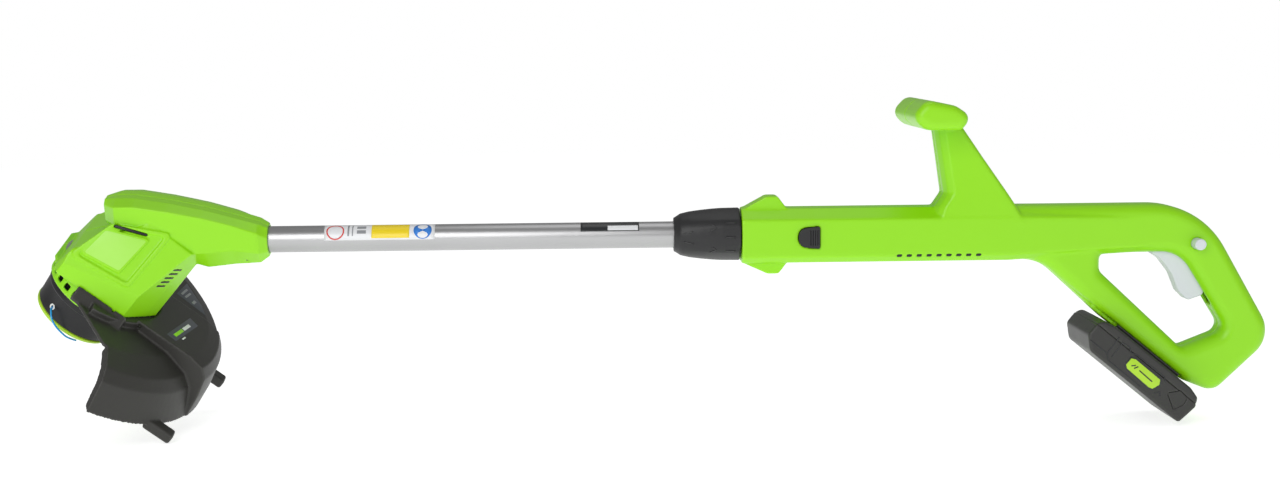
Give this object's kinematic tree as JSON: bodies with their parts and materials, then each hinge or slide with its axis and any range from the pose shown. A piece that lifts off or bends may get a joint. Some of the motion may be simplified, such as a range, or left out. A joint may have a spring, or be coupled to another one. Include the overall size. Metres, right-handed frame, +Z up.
{
  "type": "string trimmer",
  "caption": "Cordless string trimmer with a telescopic shaft, turning head, guard, line spool, front grip, rear loop handle and slide-on battery.",
  "frame": {"origin": "centre of the tool's bounding box in plan, at the height of its lowest point", "axes": "+X along the shaft from the cutting head to the handle, +Z up, +Y across the tool"},
  "size_m": [1.1239, 0.2524, 0.2981],
  "materials": {
    "lime_shell": "satin",
    "charcoal_grip": "matte",
    "guard_plastic": "satin",
    "black_plastic": "satin",
    "battery_plastic": "satin",
    "pale_grey": "satin",
    "tube_aluminium": "brushed",
    "bright_steel": "satin",
    "dark_steel": "satin",
    "copper_alloy": "satin",
    "cell_wrap": "satin",
    "board_green": "satin",
    "blue_line": "gloss",
    "white_ceramic": "gloss",
    "lead_insulation": "matte",
    "lime_cap": "satin"
  },
  "bodies": {
    "handle": {"handle_shell_near": "lime_shell", "handle_shell_far": "lime_shell", "handle_screws": "dark_steel", "clamp_collet": "black_plastic", "trigger_pin": "bright_steel", "trigger_switch": "black_plastic", "terminal_block": "black_plastic", "terminal_blades": "copper_alloy", "control_board": "board_green", "board_parts": "black_plastic"},
    "collar": {"lock_collar": "black_plastic"},
    "twist_button": {"twist_button": "black_plastic"},
    "lock_off": {"lock_off_button": "pale_grey"},
    "trigger": {"trigger": "pale_grey"},
    "plunger": {"switch_plunger": "pale_grey"},
    "telescope": {"twist_sleeve": "black_plastic"},
    "head": {"shaft_tube": "tube_aluminium", "motor_lead": "lead_insulation", "head_shell_near": "lime_shell", "head_shell_far": "lime_shell", "head_screws": "dark_steel", "motor_plate": "bright_steel", "motor_can": "bright_steel", "motor_end_cap": "black_plastic", "motor_magnets": "dark_steel", "motor_bushes": "copper_alloy", "motor_plate_screws": "dark_steel", "guard": "guard_plastic", "guard_screws": "dark_steel", "line_cutter": "bright_steel"},
    "spool": {"motor_shaft": "bright_steel", "motor_rotor": "dark_steel", "motor_commutator": "copper_alloy", "spool_drum": "black_plastic", "line_eyelets": "white_ceramic", "spool_cap": "lime_cap", "reel_spring": "bright_steel", "cutting_line": "blue_line"},
    "reel": {"line_reel": "black_plastic", "wound_line": "blue_line"},
    "battery": {"battery_cover": "battery_plastic", "battery_tray": "battery_plastic", "battery_cells": "cell_wrap", "battery_contacts": "copper_alloy"},
    "latch_near": {"battery_latch_near": "battery_plastic"},
    "latch_far": {"battery_latch_far": "battery_plastic"}
  },
  "joints": [
    {"name": "shaft_slide", "type": "slide", "parent": "handle", "child": "telescope", "axis": [-1, 0, 0], "range_m": [0, 0.165]},
    {"name": "head_turn", "type": "hinge", "parent": "telescope", "child": "head", "pos_m": [-0.34935, -0.02754, 0.1771], "axis": [1, 0, 0], "range_deg": [-15, 165]},
    {"name": "spool_spin", "type": "hinge", "parent": "head", "child": "spool", "pos_m": [-0.42213, -0.04334, 0.23609], "axis": [0.6428, -0.1983, 0.7399], "continuous": true},
    {"name": "reel_spin", "type": "hinge", "parent": "spool", "child": "reel", "pos_m": [-0.42213, -0.04334, 0.23609], "axis": [0.6428, -0.1983, 0.7399], "continuous": true},
    {"name": "collar_turn", "type": "hinge", "parent": "handle", "child": "collar", "pos_m": [0.04665, -0.02754, 0.1771], "axis": [1, 0, 0], "range_deg": [0, 90]},
    {"name": "twist_button_press", "type": "slide", "parent": "handle", "child": "twist_button", "axis": [0, 1, 0], "range_m": [0, 0.003], "stiffness_N_per_m": 700, "springref_m": -0.002},
    {"name": "lock_off_press", "type": "slide", "parent": "handle", "child": "lock_off", "axis": [0, 1, 0], "range_m": [0, 0.007], "stiffness_N_per_m": 350, "springref_m": -0.002},
    {"name": "trigger_squeeze", "type": "hinge", "parent": "handle", "child": "trigger", "pos_m": [0.46265, -0.02754, 0.1661], "axis": [0, -1, 0], "range_deg": [0, 9], "stiffness_Nm_per_rad": 1.2, "springref_deg": -5.73},
    {"name": "plunger_press", "type": "slide", "parent": "handle", "child": "plunger", "axis": [1, 0, 0], "range_m": [0, 0.007]},
    {"name": "battery_slide", "type": "slide", "parent": "handle", "child": "battery", "axis": [-0.7749, 0, 0.632], "range_m": [0, 0.06]},
    {"name": "latch_near_press", "type": "slide", "parent": "battery", "child": "latch_near", "axis": [0, 1, 0], "range_m": [0, 0.0018], "stiffness_N_per_m": 700, "springref_m": -0.002},
    {"name": "latch_far_press", "type": "slide", "parent": "battery", "child": "latch_far", "axis": [0, -1, 0], "range_m": [0, 0.0018], "stiffness_N_per_m": 700, "springref_m": -0.002}
  ],
  "couplings": [
    {"joint": "plunger_press", "follows": "trigger_squeeze", "m_per_rad": 0.044559}
  ]
}
